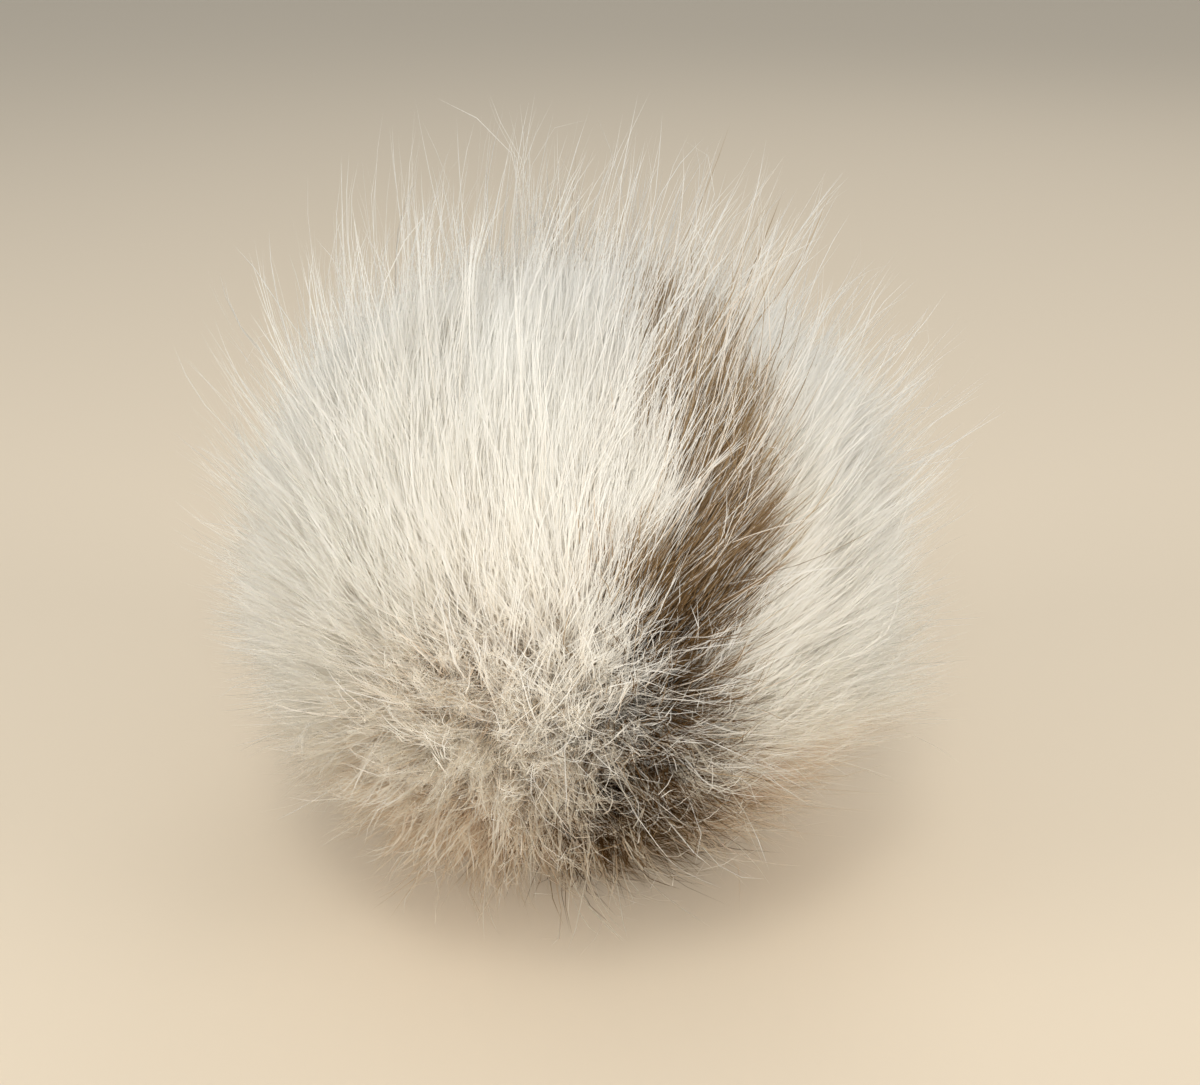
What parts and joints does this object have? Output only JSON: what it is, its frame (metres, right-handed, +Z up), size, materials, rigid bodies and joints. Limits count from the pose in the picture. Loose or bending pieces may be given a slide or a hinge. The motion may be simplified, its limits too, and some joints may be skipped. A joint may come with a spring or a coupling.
{
  "type": "faux fur pom pom",
  "caption": "Ball of long-pile faux fur, cream with a brown stripe, its nap brushed upwards, resting on a small flat spot.",
  "frame": {"origin": "on the surface the ball rests on, under the middle of its outline", "axes": "+Z up out of the surface and along the nap of the fur, -Y towards the side with the stripe right of its middle, +X to the right of that side"},
  "size_m": [0.1304, 0.1222, 0.1232],
  "materials": {
    "faux_fur": "long-pile faux fur, cream-white with one grey-brown stripe, soft sheen on the hair tips"
  },
  "bodies": {
    "root": {"fur_ball": "faux_fur"}
  },
  "joints": []
}
